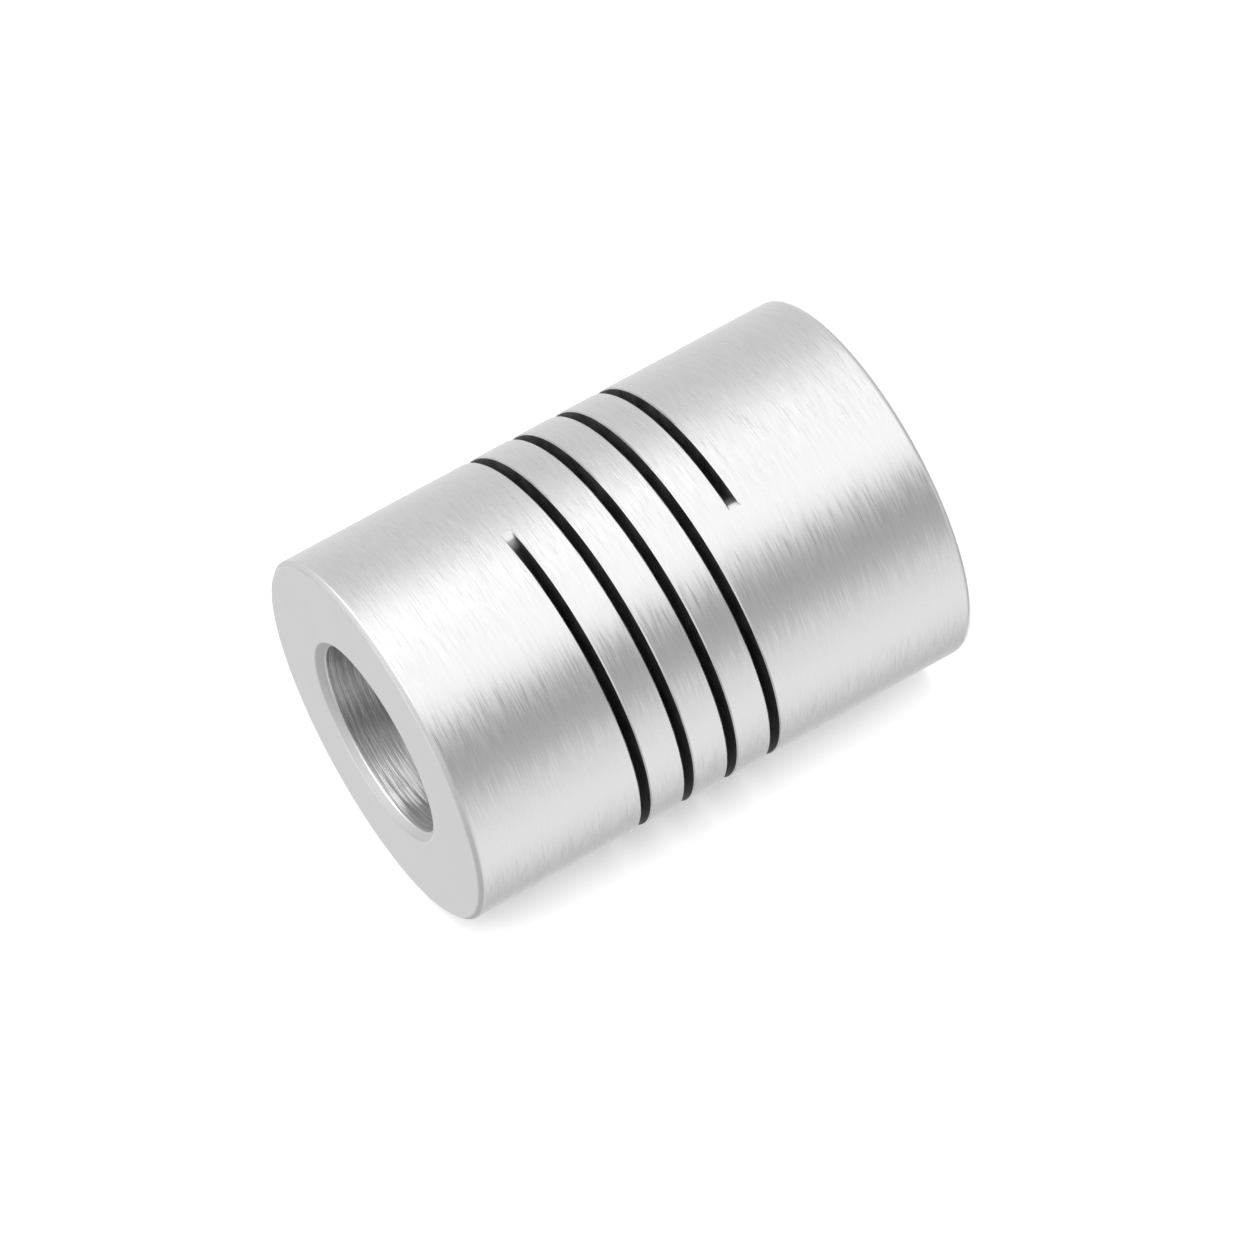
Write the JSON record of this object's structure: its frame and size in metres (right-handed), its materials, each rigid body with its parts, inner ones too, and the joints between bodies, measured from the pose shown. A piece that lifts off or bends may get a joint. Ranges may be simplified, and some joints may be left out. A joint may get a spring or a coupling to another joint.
{
  "type": "shaft coupling",
  "caption": "One-piece flexible shaft coupling: an aluminium sleeve with a through bore, a helical slot that lets it bend, and headless set screws in each hub.",
  "frame": {"origin": "centre of the lower end face, on the shaft axis", "axes": "+Z along the shaft axis, towards the upper hub; +X towards the side set screws and -Y towards the front set screws"},
  "size_m": [0.025, 0.025, 0.036],
  "materials": {
    "aluminium_body": "bright turned and brushed round the axis",
    "blackened_steel": "black oxide, satin"
  },
  "bodies": {
    "root": {"coupling_body": "aluminium_body", "upper_side_set_screw": "blackened_steel", "upper_front_set_screw": "blackened_steel", "lower_side_set_screw": "blackened_steel", "lower_front_set_screw": "blackened_steel"}
  },
  "joints": []
}
